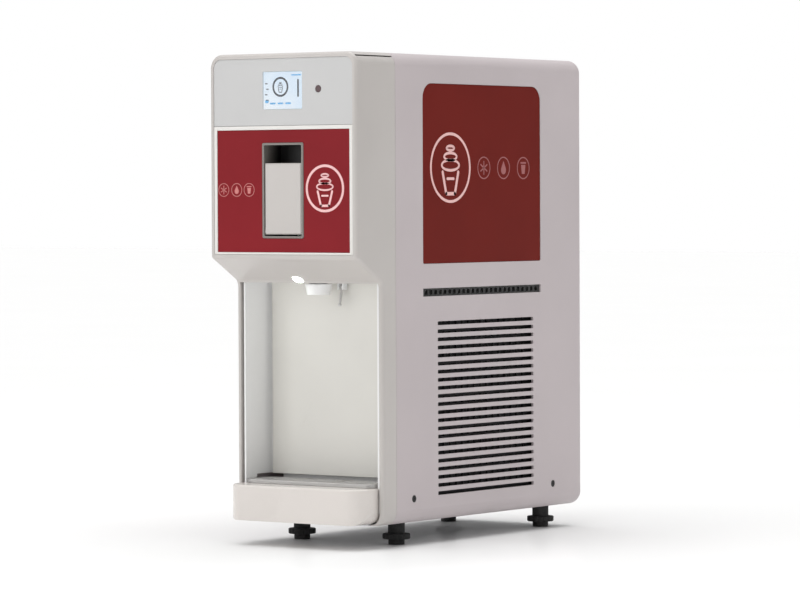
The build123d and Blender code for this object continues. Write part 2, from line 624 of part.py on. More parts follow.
GEARBOX_FRONT = 338.0
GEARBOX_REAR = 398.0
with BuildPart() as dasher:
    rod(on_axis(113), on_axis(128), 6)
    rod(on_axis(126), on_axis(314), 9)
    rod(on_axis(314), on_axis(366), SHAFT_R)
    for depth in (129, 308):
        block((-37, 37), (behind(depth - 3), behind(depth + 3)), (CYLINDER_Z - 5, CYLINDER_Z + 5))
    for side in (-1, 1):
        inner, outer = sorted((side * 33, side * 37))
        block((inner, outer), (behind(126), behind(311)), (CYLINDER_Z - 5, CYLINDER_Z + 5))
    # Beater paddles, each turned a little further round than the one before
    for step in range(8):
        with Locations(Plane(origin=on_axis(146 + 20 * step), x_dir=(1, 0, 0), z_dir=(0, 1, 0))):
            with PolarLocations(17, 1, start_angle=40 * step):
                Box(30, 3, 12)
save(dasher, "dasher")

with BuildPart() as scraper_blades:
    for side in (-1, 1):
        inner, outer = sorted((side * 37.1, side * 40.8))
        block((inner, outer), (behind(128), behind(308)), (CYLINDER_Z - 4, CYLINDER_Z + 4))
save(scraper_blades, "scraper_blades")

# The cylinder's two seals: a flat gasket under the door and a lip seal round the shaft
with BuildPart() as cylinder_seals:
    rod(on_axis(CYLINDER_FRONT - 1.5), on_axis(CYLINDER_FRONT), 53)
    rod(on_axis(CYLINDER_FRONT - 2), on_axis(CYLINDER_FRONT + 1), 44, Mode.SUBTRACT)
    rod(on_axis(CYLINDER_REAR - 4), on_axis(CYLINDER_REAR), 13.9)
    rod(on_axis(CYLINDER_REAR - 5), on_axis(CYLINDER_REAR + 1), SHAFT_R + FIT, Mode.SUBTRACT)
save(cylinder_seals, "cylinder_seals")

with BuildPart() as shaft_bearing:
    rod(on_axis(CYLINDER_REAR + 2), on_axis(GEARBOX_FRONT - 2), 14.95)
    rod(on_axis(CYLINDER_REAR), on_axis(GEARBOX_FRONT), SHAFT_R + FIT, Mode.SUBTRACT)
save(shaft_bearing, "shaft_bearing")

with BuildPart() as gearbox:
    block((-45, 45), (behind(GEARBOX_FRONT), behind(GEARBOX_REAR)), (CYLINDER_Z - 45, CYLINDER_Z + 45))
    fillet(gearbox.edges().filter_by(Axis.Y), radius=12)
    # Bearing housing on its front, which bolts to the cylinder
    rod(on_axis(CYLINDER_REAR), on_axis(GEARBOX_FRONT), 30)
    rod(on_axis(CYLINDER_REAR - 1), on_axis(GEARBOX_FRONT), 15, Mode.SUBTRACT)
    rod(on_axis(GEARBOX_FRONT - 1), on_axis(368), SHAFT_R + FIT, Mode.SUBTRACT)
save(gearbox, "gearbox")

MOTOR_REAR = 516.0
with BuildPart() as drive_motor:
    rod(on_axis(GEARBOX_REAR), on_axis(MOTOR_REAR), 40)
    for step in range(7):
        rib = GEARBOX_REAR + 14 + 12 * step
        rod(on_axis(rib), on_axis(rib + 4), 44)
    rod(on_axis(MOTOR_REAR), on_axis(MOTOR_REAR + 14), 34)
save(drive_motor, "drive_motor")

# ---------------- mix hopper and lid

RIM_TOP = HEIGHT - WALL - 0.2
hopper_length = HOPPER_REAR - HOPPER_FRONT
lid_length = LID_REAR - LID_FRONT
with BuildPart() as mix_hopper:
    with BuildSketch(Plane.XY.offset(HOPPER_BOTTOM)):
        with Locations((0, hopper_mid)):
            RectangleRounded(2 * HOPPER_HALF_W, hopper_length, 24)
    extrude(amount=RIM_TOP - HOPPER_BOTTOM)
    with BuildSketch(Plane.XY.offset(RIM_TOP)):
        with Locations((0, hopper_mid)):
            RectangleRounded(2 * LID_HALF_W + 16, lid_length + 12, LID_R + 6)
    extrude(amount=-2)
    with BuildSketch(Plane.XY.offset(HOPPER_BOTTOM + 2)):
        with Locations((0, hopper_mid)):
            RectangleRounded(2 * HOPPER_HALF_W - 4, hopper_length - 4, 22)
    extrude(amount=RIM_TOP - HOPPER_BOTTOM, mode=Mode.SUBTRACT)
    rod((0, behind(FEED_DEPTH), CYLINDER_Z + CYLINDER_R + CYLINDER_WALL + 0.3),
        (0, behind(FEED_DEPTH), HOPPER_BOTTOM + 1), 9)
    rod(on_axis(FEED_DEPTH), (0, behind(FEED_DEPTH), HOPPER_BOTTOM + 3), 7, Mode.SUBTRACT)
save(mix_hopper, "mix_hopper")

with BuildPart() as feed_tube:
    rod((0, behind(FEED_DEPTH), 512), (0, behind(FEED_DEPTH), 640), 6.9)
    rod((0, behind(FEED_DEPTH), 560), (0, behind(FEED_DEPTH), 563), 10)
    rod((0, behind(FEED_DEPTH), 511), (0, behind(FEED_DEPTH), 641), 4.5, Mode.SUBTRACT)
    rod((-12, behind(FEED_DEPTH), 575), (12, behind(FEED_DEPTH), 575), 2, Mode.SUBTRACT)
save(feed_tube, "feed_tube")

LID_UNDER = HEIGHT - WALL
with BuildPart() as hopper_lid:
    with BuildSketch(Plane.XY.offset(LID_UNDER)):
        with Locations((0, hopper_mid)):
            RectangleRounded(2 * LID_HALF_W, lid_length, LID_R - 0.6)
    extrude(amount=WALL)
    fillet(hopper_lid.faces().sort_by(Axis.Z)[-1].edges(), radius=1.2)
    with BuildSketch(Plane.XY.offset(LID_UNDER)):
        with Locations((0, hopper_mid)):
            RectangleRounded(2 * HOPPER_HALF_W - 6, hopper_length - 6, 21)
            RectangleRounded(2 * HOPPER_HALF_W - 11, hopper_length - 11, 18.5, mode=Mode.SUBTRACT)
    extrude(amount=-9)
    # Finger well with a bar across it
    block((-34, 34), (hopper_mid - 24, hopper_mid + 24), (LID_UNDER - 11, LID_UNDER + 1))
    with BuildSketch(Plane.XY.offset(LID_UNDER - 9)):
        with Locations((0, hopper_mid)):
            RectangleRounded(62, 42, 10)
    extrude(amount=20, mode=Mode.SUBTRACT)
    block((-34, 34), (hopper_mid - 7, hopper_mid + 7), (HEIGHT - 5, HEIGHT - 0.5))
save(hopper_lid, "hopper_lid")

SHELF_TOP = SHELF_Z + SHELF_THICK
with BuildPart() as shelf:
    block((-127, 127), (behind(136), behind(574)), (SHELF_Z, SHELF_TOP))
    for side in (-1, 1):
        inner, outer = sorted((side * 125, side * 127))
        block((inner, outer), (behind(136), behind(574)), (SHELF_Z - 14, SHELF_Z))
    # Uprights that carry the gearbox
    for depth in (344, 386):
        block((-40, 40), (behind(depth), behind(depth + 4)), (SHELF_TOP, CYLINDER_Z - 45))
save(shelf, "shelf")

# ---------------- dispensing bay

LINER_CORNER_R = 6.0
LINER_BOTTOM = 52.0
LEVER_X = 24.0
LEVER_DEPTH = 112.0
LEVER_Z = 380.0
SLOT_ZS = (GRID_TOP - 3, GRID_TOP + 5)
liner_outer = LINER_HALF_W + LINER_WALL
with BuildPart() as bay_liner:
    with BuildSketch(Plane.XY.offset(LINER_BOTTOM)) as liner_plan:
        with Locations((0, behind((BAY_FRONT + 4 + BAY_BACK + LINER_WALL) / 2))):
            Rectangle(2 * liner_outer, BAY_BACK + LINER_WALL - BAY_FRONT - 4)
        fillet(liner_plan.vertices().group_by(Axis.Y)[-1], radius=LINER_CORNER_R + LINER_WALL)
    extrude(amount=BAY_TOP_Z + LINER_WALL - LINER_BOTTOM)
    with BuildSketch(Plane.XY.offset(CASE_BOTTOM)) as liner_hollow:
        with Locations((0, behind((BAY_FRONT + BAY_BACK) / 2))):
            Rectangle(2 * LINER_HALF_W, BAY_BACK - BAY_FRONT)
        fillet(liner_hollow.vertices().group_by(Axis.Y)[-1], radius=LINER_CORNER_R)
    extrude(amount=BAY_TOP_Z - CASE_BOTTOM, mode=Mode.SUBTRACT)
    rod((0, axis_y, BAY_TOP_Z - 5), (0, axis_y, BAY_TOP_Z + 5), 21, Mode.SUBTRACT)
    # Air slots through the lower rear corners
    for side in (-1, 1):
        inner, outer = sorted((side * 100, side * (liner_outer + 1)))
        block((inner, outer), (behind(92), behind(BAY_BACK + LINER_WALL + 1)), SLOT_ZS, Mode.SUBTRACT)
    # Two ears and a pin under the ceiling, which carry the cup lever
    for side in (-1, 1):
        inner, outer = sorted((LEVER_X + side * 3.2, LEVER_X + side * 5.2))
        block((inner, outer), (behind(LEVER_DEPTH - 5), behind(LEVER_DEPTH + 5)),
              (LEVER_Z - 5, BAY_TOP_Z + 1))
    rod((LEVER_X - 5.2, behind(LEVER_DEPTH), LEVER_Z), (LEVER_X + 5.2, behind(LEVER_DEPTH), LEVER_Z), 1.2)
save(bay_liner, "bay_liner")

# Wipe-clean panel in front of the liner's back wall, with softly rounded sides
SPLASH_HALF = 114.5
SPLASH_FRONT = 120.0
with BuildPart() as splash_back:
    block((-SPLASH_HALF, SPLASH_HALF), (behind(SPLASH_FRONT), behind(BAY_BACK)),
          (GRID_TOP + 5, BAY_TOP_Z - 0.3))
    fillet(splash_back.faces().sort_by(Axis.Y)[0].edges().filter_by(Axis.Z), radius=4)
save(splash_back, "splash_back")

with BuildPart() as lamp_lens:
    with BuildSketch(lamp_plane.offset(0.8)):
        Circle(LAMP_R)
    extrude(amount=-4)
    fillet(lamp_lens.faces().sort_by_distance(lamp_plane.offset(0.8).origin)[0].edges(), radius=0.7)
save(lamp_lens, "lamp_lens")

# Thin lever that a cup pushes back, on the pin between the liner's ears
lever_end = (LEVER_X, behind(LEVER_DEPTH - 6), LEVER_Z - 27)
with BuildPart() as cup_lever:
    rod((LEVER_X - 2.8, behind(LEVER_DEPTH), LEVER_Z), (LEVER_X + 2.8, behind(LEVER_DEPTH), LEVER_Z), 3.2)
    rod((LEVER_X, behind(LEVER_DEPTH), LEVER_Z), lever_end, 1.8)
    with Locations(lever_end):
        Sphere(2.6)
    rod((LEVER_X - 6, behind(LEVER_DEPTH), LEVER_Z), (LEVER_X + 6, behind(LEVER_DEPTH), LEVER_Z), 1.2 + FIT,
        Mode.SUBTRACT)
save(cup_lever, "cup_lever")

# ---------------- drip tray and grid

BASIN_HALF_W = LINER_HALF_W - 0.9
BASIN_FRONT = 56.0
BASIN_REAR = 119.0
BASIN_R = 16.0
basin_mid = behind((BASIN_FRONT + BASIN_REAR) / 2)
with BuildPart() as drip_tray:
    # Front that stands out of the bay, well rounded at its sides
    with BuildSketch(Plane.XY.offset(TRAY_BOTTOM)) as tray_nose:
        with Locations((0, behind((TRAY_FRONT + BAY_FRONT + 3) / 2))):
            Rectangle(2 * TRAY_HALF_W, BAY_FRONT + 3 - TRAY_FRONT)
        fillet(tray_nose.vertices().group_by(Axis.Y)[0], radius=TRAY_CORNER_R)
    extrude(amount=TRAY_TOP - TRAY_BOTTOM)
    with BuildSketch(Plane.XY.offset(TRAY_BOTTOM + 2)) as tray_plan:
        with Locations((0, basin_mid)):
            Rectangle(2 * BASIN_HALF_W, BASIN_REAR - BASIN_FRONT)
        fillet(tray_plan.vertices().group_by(Axis.Y)[-1], radius=BASIN_R)
    extrude(amount=TRAY_TOP - TRAY_BOTTOM - 2)
    with BuildSketch(Plane.XZ.offset(-behind(TRAY_FRONT - 2))) as tray_front_view:
        with Locations((0, (TRAY_BOTTOM + TRAY_TOP) / 2)):
            Rectangle(2 * TRAY_HALF_W, TRAY_TOP - TRAY_BOTTOM)
        fillet(tray_front_view.vertices().group_by(Axis.Y)[0], radius=BAY_CORNER_R + 3)
    extrude(amount=-BASIN_REAR, mode=Mode.INTERSECT)
    # Soft upper edge round the nose
    nose_rim = drip_tray.faces().sort_by(Axis.Z)[-1].edges().filter_by_position(
        Axis.Y, behind(TRAY_FRONT - 1), behind(TRAY_FRONT + TRAY_CORNER_R - 1))
    fillet(nose_rim, radius=3)
    with BuildSketch(Plane.XY.offset(TRAY_BOTTOM + 5)):
        with Locations((0, basin_mid)):
            RectangleRounded(2 * BASIN_HALF_W - 8, BASIN_REAR - BASIN_FRONT - 8, BASIN_R - 4)
    extrude(amount=TRAY_TOP, mode=Mode.SUBTRACT)
save(drip_tray, "drip_tray")

# Slatted grid with a shallow skirt, which lifts out of the tray
GRID_BOTTOM = TRAY_TOP + GAP
GRID_PLATE = 2.2
SLAT_PITCH = 7.4
with BuildPart() as drip_grid:
    with BuildSketch(Plane.XY.offset(GRID_BOTTOM)):
        with Locations((0, basin_mid)):
            RectangleRounded(2 * BASIN_HALF_W - 1, BASIN_REAR - BASIN_FRONT - 1, BASIN_R)
    extrude(amount=GRID_TOP - GRID_BOTTOM)
    fillet(drip_grid.faces().sort_by(Axis.Z)[-1].edges(), radius=1.2)
    with BuildSketch(Plane.XY.offset(GRID_BOTTOM)):
        with Locations((0, basin_mid)):
            RectangleRounded(2 * BASIN_HALF_W - 7, BASIN_REAR - BASIN_FRONT - 7, BASIN_R - 3)
    extrude(amount=GRID_TOP - GRID_BOTTOM - GRID_PLATE, mode=Mode.SUBTRACT)
    with BuildSketch(Plane.XY.offset(GRID_BOTTOM)):
        with Locations((0, basin_mid)):
            with GridLocations(72, SLAT_PITCH, 3, 7):
                RectangleRounded(64, 4.6, 2)
    extrude(amount=GRID_TOP, mode=Mode.SUBTRACT)
save(drip_grid, "drip_grid")

# ---------------- refrigeration

COMP_X = -34.0
COMP_Y = behind(480)
PAN_TOP = CASE_BOTTOM + WALL
with BuildPart() as compressor:
    rod((COMP_X, COMP_Y, 62), (COMP_X, COMP_Y, 190), 62)
    fillet(compressor.faces().sort_by(Axis.Z)[-1].edges(), radius=30)
    fillet(compressor.faces().sort_by(Axis.Z)[0].edges(), radius=8)
    rod((COMP_X, COMP_Y, 118), (COMP_X, COMP_Y, 124), 65)
    block((COMP_X - 66, COMP_X + 66), (COMP_Y - 22, COMP_Y + 22), (58, 63))
save(compressor, "compressor")

with BuildPart() as compressor_grommets:
    for x in (COMP_X - 58, COMP_X + 58):
        rod((x, COMP_Y, PAN_TOP), (x, COMP_Y, 58), 7)
save(compressor_grommets, "compressor_grommets")

COND_BOTTOM = 56.0
COND_TOP = 336.0
with BuildPart() as condenser:
    for step in range(31):
        fin_z = COND_BOTTOM + 4 + 9 * step
        block((88, 112), (behind(200), behind(440)), (fin_z, fin_z + 1.2))
    for depth in (200, 438):
        block((88, 112), (behind(depth), behind(depth + 2)), (COND_BOTTOM, COND_TOP))
    for x in (94, 106):
        for depth in range(226, 420, 27):
            rod((x, behind(depth), COND_BOTTOM), (x, behind(depth), COND_TOP), 3.6)
    block((88, 112), (behind(200), behind(440)), (PAN_TOP, COND_BOTTOM + 1))
    block((88, 112), (behind(200), behind(440)), (COND_TOP, COND_TOP + 2))
save(condenser, "condenser")

with BuildPart() as air_filter:
    block((114, 120), (behind(192), behind(478)), (PAN_SEAM_Z + 8, 342))
    with BuildSketch(Plane.YZ.offset(120)):
        with Locations((behind(325), 202)):
            with GridLocations(16, 16, 15, 16):
                Rectangle(11, 11)
    extrude(amount=-3, mode=Mode.SUBTRACT)
save(air_filter, "air_filter")

SHROUD_X = 57.0
with BuildPart() as fan_shroud:
    block((SHROUD_X, 86), (behind(FAN_DEPTH - 112), behind(FAN_DEPTH + 112)), (FAN_Z - 128, FAN_Z + 128))
    block((SHROUD_X + 3, 87), (behind(FAN_DEPTH - 109), behind(FAN_DEPTH + 109)), (FAN_Z - 125, FAN_Z + 125),
          Mode.SUBTRACT)
    rod((SHROUD_X - 1, behind(FAN_DEPTH), FAN_Z), (SHROUD_X + 4, behind(FAN_DEPTH), FAN_Z), FAN_RIM_R,
        Mode.SUBTRACT)
save(fan_shroud, "fan_shroud")

with BuildPart() as fan_blades:
    rod((48, behind(FAN_DEPTH), FAN_Z), (76, behind(FAN_DEPTH), FAN_Z), 22)
    with Locations(Plane(origin=(65, behind(FAN_DEPTH), FAN_Z), x_dir=(0, 1, 0), z_dir=(1, 0, 0))):
        with PolarLocations(52, 5):
            Box(66, 36, 2.4, rotation=(24, 0, 0))
    rod((20, behind(FAN_DEPTH), FAN_Z), (50, behind(FAN_DEPTH), FAN_Z), 4)
save(fan_blades, "fan_blades")

# Fan motor on three arms that reach the shroud's rim
with BuildPart() as fan_motor:
    rod((8, behind(FAN_DEPTH), FAN_Z), (44, behind(FAN_DEPTH), FAN_Z), 30)
    with Locations(Plane(origin=(40, behind(FAN_DEPTH), FAN_Z), x_dir=(0, 1, 0), z_dir=(1, 0, 0))):
        with PolarLocations(63, 3, start_angle=90):
            Box(78, 10, 4)
        with PolarLocations(99, 3, start_angle=90):
            with Locations((0, 0, 7.5)):
                Box(6, 10, 19)
    rod((19, behind(FAN_DEPTH), FAN_Z), (51, behind(FAN_DEPTH), FAN_Z), 4 + FIT, Mode.SUBTRACT)
save(fan_motor, "fan_motor")


def pipe(points, radius, bend):
    """A copper line through these points, with one bend radius."""
    with BuildPart() as line:
        with BuildLine() as route:
            FilletPolyline(*points, radius=bend)
        start_direction = (Vector(points[1]) - Vector(points[0])).normalized()
        with BuildSketch(Plane(origin=points[0], z_dir=start_direction)):
            Circle(radius)
        sweep(path=route.line)
    return line.part


# Hot gas goes from the compressor to the condenser's upper tank, liquid from its lower tank to the
# filter drier, a capillary up to the evaporator, and cold gas back to the compressor
DRIER_X = -80.0
DRIER_Y = behind(214)
discharge_line = pipe([
    (COMP_X + 30, COMP_Y, 190), (COMP_X + 30, COMP_Y, 250), (100, COMP_Y, 250), (100, COMP_Y, 354),
    (100, behind(400), 354), (100, behind(400), COND_TOP + 2)], 3.2, 12)
liquid_line = pipe([(88, DRIER_Y, 47), (DRIER_X, DRIER_Y, 47), (DRIER_X, DRIER_Y, 90)], 3.2, 10)
capillary_line = pipe([
    (DRIER_X, DRIER_Y, 190), (DRIER_X, DRIER_Y, 352), (DRIER_X, behind(150), 352)], 1.6, 12)
suction_line = pipe([
    (COMP_X - 30, COMP_Y, 190), (COMP_X - 30, COMP_Y, 340), (COMP_X - 30, behind(340), 340)], 4.2, 14)
with BuildPart() as filter_drier:
    rod((DRIER_X, DRIER_Y, 90), (DRIER_X, DRIER_Y, 190), 12)
    ends = filter_drier.faces().sort_by(Axis.Z)
    fillet(ends[0].edges() + ends[-1].edges(), radius=6)
with BuildPart() as refrigerant_lines:
    for line in (discharge_line, liquid_line, capillary_line, suction_line, filter_drier.part):
        add(line)
save(refrigerant_lines, "refrigerant_lines")

# ---------------- power

PSU_BOTTOM = 51.0
with BuildPart() as power_supply:
    block((44, 112), (behind(470), behind(566)), (PSU_BOTTOM, PSU_BOTTOM + 100))
    with BuildSketch(Plane.YZ.offset(44)):
        with Locations((behind(518), PSU_BOTTOM + 50)):
            with GridLocations(11, 0, 7, 1):
                RectangleRounded(5, 70, 2)
    extrude(amount=3, mode=Mode.SUBTRACT)
save(power_supply, "power_supply")

# Mains inlet: a three-pin socket in the back panel
SOCKET_FACE = REAR - 1.0
SWITCH_PIVOT_Y = REAR - 7.0
with BuildPart() as power_inlet:
    block((INLET_X - 14, INLET_X + 14), (REAR - 26, SOCKET_FACE), (SOCKET_Z - 16, SOCKET_Z + 16))
    with BuildSketch(Plane.XZ.offset(-SOCKET_FACE)) as socket_mouth:
        with Locations((INLET_X, SOCKET_Z)):
            Rectangle(24, 17)
        chamfer(socket_mouth.vertices().group_by(Axis.Y)[-1], length=4)
    extrude(amount=17, mode=Mode.SUBTRACT)
    for x, z in ((-7, -2.5), (0, 2.5), (7, -2.5)):
        block((INLET_X + x - 1, INLET_X + x + 1), (REAR - 19, REAR - 8),
              (SOCKET_Z + z - 2, SOCKET_Z + z + 2))

    # The switch's frame, in the same moulding
    block((INLET_X + 14, SWITCH_X - 11), (REAR - 26, REAR - WALL - 2), (SOCKET_Z - 15, SOCKET_Z + 15))
    block((SWITCH_X - 11, SWITCH_X + 11), (REAR - 26, SOCKET_FACE), (SOCKET_Z - 15, SOCKET_Z + 15))
    block((SWITCH_X - 9, SWITCH_X + 9), (REAR - 20, REAR), (SOCKET_Z - 13, SOCKET_Z + 13), Mode.SUBTRACT)
    rod((SWITCH_X - 10, SWITCH_PIVOT_Y, SOCKET_Z), (SWITCH_X + 10, SWITCH_PIVOT_Y, SOCKET_Z), 1.5)
save(power_inlet, "power_inlet")

with BuildPart() as power_switch:
    with BuildSketch(Plane.YZ.offset(SWITCH_X - 8.5)):
        with BuildLine():
            Polyline(
                (SWITCH_PIVOT_Y - 4, SOCKET_Z - 10),
                (SWITCH_PIVOT_Y + 2, SOCKET_Z - 11.6),
                (SWITCH_PIVOT_Y + 3.2, SOCKET_Z),
                (SWITCH_PIVOT_Y + 6.4, SOCKET_Z + 11),
                (SWITCH_PIVOT_Y - 3, SOCKET_Z + 11),
                close=True,
            )
        make_face()
    extrude(amount=17)
    rod((SWITCH_X - 9, SWITCH_PIVOT_Y, SOCKET_Z), (SWITCH_X + 9, SWITCH_PIVOT_Y, SOCKET_Z), 1.5 + FIT,
        Mode.SUBTRACT)
save(power_switch, "power_switch")

# ---------------- feet and screws

with BuildPart() as foot:
    with BuildSketch(Plane.XZ):
        with BuildLine():
            Polyline((0, 0), (12, 0), (12, 8), (19.5, 8), (20.5, 9), (20.5, 15), (19.5, 16), (12.5, 16),
                     (12.5, CASE_BOTTOM - 0.4), (FOOT_THREAD_R, CASE_BOTTOM - 0.4), (FOOT_THREAD_R, 48),
                     (0, 48), close=True)
        make_face()
    revolve(axis=Axis.Z)
    # Finger grips round the ring
    with PolarLocations(21.6, 16):
        Cylinder(2, 8, align=(Align.CENTER, Align.CENTER, Align.MIN), mode=Mode.SUBTRACT)
        with Locations((0, 0, 8)):
            Cylinder(2, 8, align=(Align.CENTER, Align.CENTER, Align.MIN), mode=Mode.SUBTRACT)

FOOT_NAMES = {
    "foot_front_left": (-FOOT_X, FOOT_DEPTHS[0]),
    "foot_front_right": (FOOT_X, FOOT_DEPTHS[0]),
    "foot_rear_left": (-FOOT_X, FOOT_DEPTHS[1]),
    "foot_rear_right": (FOOT_X, FOOT_DEPTHS[1]),
}
for name, (x, depth) in FOOT_NAMES.items():
    with BuildPart() as placed_foot:
        with Locations((x, behind(depth), 0)):
            add(foot.part)
    save(placed_foot, name)

with BuildPart() as case_screws:
    for side in (-1, 1):
        for depth in SCREW_DEPTHS:
            head = side * (WIDTH / 2 - 0.5)
            seat = side * (WIDTH / 2 - 1.8)
            rod((seat, behind(depth), SCREW_Z), (head, behind(depth), SCREW_Z), SCREW_HEAD_R)
            rod((side * (WIDTH / 2 - 14), behind(depth), SCREW_Z), (seat, behind(depth), SCREW_Z), 2)
            socket_floor = side * (WIDTH / 2 - 1.5)
            rod((socket_floor, behind(depth), SCREW_Z), (side * WIDTH / 2, behind(depth), SCREW_Z), 1.6,
                Mode.SUBTRACT)
    for x in (-BACK_SCREW_X, BACK_SCREW_X):
        for z in (BACK_SCREW_MID - BACK_SCREW_SPAN / 2, BACK_SCREW_MID + BACK_SCREW_SPAN / 2):
            rod((x, REAR - 12, z), (x, REAR - 1.9, z), 2)
            rod((x, REAR - 1.9, z), (x, REAR - 0.3, z), 3.8)
            rod((x, REAR - 1.5, z), (x, REAR, z), 1.6, Mode.SUBTRACT)
save(case_screws, "case_screws")
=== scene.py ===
"""Countertop soft serve machine: materials, printed marks, screen graphics and studio.

Metres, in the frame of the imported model. +Z is up and the front faces -Y.
"""

import json
import math

import bmesh
import bpy
from mathutils import Matrix, Vector


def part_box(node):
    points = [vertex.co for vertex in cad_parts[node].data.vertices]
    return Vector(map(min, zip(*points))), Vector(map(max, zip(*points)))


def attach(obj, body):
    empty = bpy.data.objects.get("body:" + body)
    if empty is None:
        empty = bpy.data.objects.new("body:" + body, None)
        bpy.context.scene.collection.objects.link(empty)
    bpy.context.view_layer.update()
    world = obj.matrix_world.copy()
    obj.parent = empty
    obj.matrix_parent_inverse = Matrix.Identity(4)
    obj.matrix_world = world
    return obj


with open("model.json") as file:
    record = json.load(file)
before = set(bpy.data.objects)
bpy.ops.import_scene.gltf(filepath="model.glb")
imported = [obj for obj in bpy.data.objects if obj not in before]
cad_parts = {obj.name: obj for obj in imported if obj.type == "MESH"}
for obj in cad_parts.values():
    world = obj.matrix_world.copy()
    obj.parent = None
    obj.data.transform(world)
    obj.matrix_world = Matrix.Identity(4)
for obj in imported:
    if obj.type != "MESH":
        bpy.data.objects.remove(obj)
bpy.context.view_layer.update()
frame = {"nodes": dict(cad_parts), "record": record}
nodes = frame["nodes"]
head_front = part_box("front_housing")[0][1]
MM = 0.001


# ---------------- camera


def make_camera():
    """A long lens at the front right, at about two thirds of the machine's height."""
    azimuth, pitch, roll = (math.radians(angle) for angle in (35.79, 1.525, -0.237))
    place = Vector((3.50966, -4.87287, 0.51496))
    right = Vector((math.cos(azimuth), math.sin(azimuth), 0))
    look = Vector((-math.sin(azimuth) * math.cos(pitch), math.cos(azimuth) * math.cos(pitch),
                   -math.sin(pitch)))
    up = right.cross(look)
    rolled_right = right * math.cos(roll) + up * math.sin(roll)
    rolled_up = up * math.cos(roll) - right * math.sin(roll)
    data = bpy.data.cameras.new("camera")
    data.lens = 179.0
    data.sensor_width = 36.0
    data.clip_start, data.clip_end = 0.1, 50
    camera = bpy.data.objects.new("camera", data)
    turn = Matrix((rolled_right, rolled_up, -look)).transposed()
    camera.matrix_world = Matrix.Translation(place) @ turn.to_4x4()
    bpy.context.scene.collection.objects.link(camera)
    bpy.context.scene.camera = camera


make_camera()


# ---------------- node helpers


def scaled(colour, factor):
    return tuple(min(1.0, channel * factor) for channel in colour)


class Shader:
    """One node-based material, built from object-space noise, a rounded-edge test and bumps."""

    def __init__(self, name):
        self.material = bpy.data.materials.new(name)
        self.material.use_nodes = True
        self.tree = self.material.node_tree
        self.surface = self.tree.nodes["Principled BSDF"]
        self.place = self.node("ShaderNodeTexCoord").outputs["Object"]

    def node(self, kind, **settings):
        made = self.tree.nodes.new(kind)
        for key, value in settings.items():
            if key in made.inputs:
                made.inputs[key].default_value = value
            else:
                setattr(made, key, value)
        return made

    def link(self, source, target):
        self.tree.links.new(source, target)

    def stretched(self, scale):
        """Object-space place, squeezed or stretched along its axes."""
        mapping = self.node("ShaderNodeMapping", Scale=scale)
        self.link(self.place, mapping.inputs["Vector"])
        return mapping.outputs["Vector"]

    def noise(self, scale, detail=3.0, rough=0.5, stretch=None):
        made = self.node("ShaderNodeTexNoise", Scale=scale, Detail=detail, Roughness=rough)
        self.link(self.stretched(stretch) if stretch else self.place, made.inputs["Vector"])
        return made.outputs["Fac"]

    def pattern(self, kind, output, **settings):
        """One output of a texture node that is laid in object space."""
        made = self.node("ShaderNodeTex" + kind, **settings)
        self.link(self.place, made.inputs["Vector"])
        return made.outputs[output]

    def spread(self, source, low, high, start=0.0, end=1.0):
        """A number remapped from start..end to low..high, and held inside it."""
        made = self.node("ShaderNodeMapRange", **{"From Min": start, "From Max": end,
                                                  "To Min": low, "To Max": high})
        self.link(source, made.inputs["Value"])
        return made.outputs["Result"]

    def combine(self, operation, first, second):
        made = self.node("ShaderNodeMath", operation=operation)
        for socket, value in zip(made.inputs, (first, second)):
            if isinstance(value, (int, float)):
                socket.default_value = value
            else:
                self.link(value, socket)
        return made.outputs[0]

    def blend(self, factor, first, second):
        """A colour between two colours; each is a plain colour or a colour output."""
        made = self.node("ShaderNodeMix", data_type="RGBA")
        self.link(factor, made.inputs["Factor"])
        for index, value in ((6, first), (7, second)):
            if isinstance(value, tuple):
                made.inputs[index].default_value = (*value[:3], 1)
            else:
                self.link(value, made.inputs[index])
        return made.outputs[2]

    def varied(self, source, colour, low, high, start=0.3, end=0.7):
        """A colour between a darker and a lighter cast of itself, by the source's level."""
        level = self.spread(source, 0.0, 1.0, start, end)
        return self.blend(level, scaled(colour, low), scaled(colour, high))

    def edge(self, radius):
        """Near 1 along convex and concave edges within the radius, 0 on open faces."""
        soft = self.node("ShaderNodeBevel", samples=6, Radius=radius)
        straight = self.node("ShaderNodeNewGeometry").outputs["Normal"]
        dot = self.node("ShaderNodeVectorMath", operation="DOT_PRODUCT")
        self.link(soft.outputs["Normal"], dot.inputs[0])
        self.link(straight, dot.inputs[1])
        return self.spread(dot.outputs["Value"], 1.0, 0.0, 0.80, 0.995)

    def relief(self, height, strength, distance, edge_radius=0.0005):
        """Bump from a height, over edges that catch light as a moulded corner does."""
        bump = self.node("ShaderNodeBump", Strength=strength, Distance=distance)
        self.link(height, bump.inputs["Height"])
        soft = self.node("ShaderNodeBevel", samples=6, Radius=edge_radius)
        self.link(soft.outputs["Normal"], bump.inputs["Normal"])
        self.link(bump.outputs["Normal"], self.surface.inputs["Normal"])

    def colour(self, output):
        self.link(output, self.surface.inputs["Base Color"])

    def rough(self, output):
        self.link(output, self.surface.inputs["Roughness"])

    def emit(self, output, strength):
        self.link(output, self.surface.inputs["Emission Color"])
        self.fixed(Emission_Strength=strength)

    def fixed(self, **values):
        for key, value in values.items():
            self.surface.inputs[key.replace("_", " ")].default_value = value


# ---------------- materials


DUST = (0.35, 0.34, 0.33)
LINT = (0.25, 0.24, 0.22)
RUBBED_GREY = (0.16, 0.16, 0.16)
SCUFF = (0.5, 0.4, 0.4)
WORN_RIM = (0.62, 0.60, 0.57)


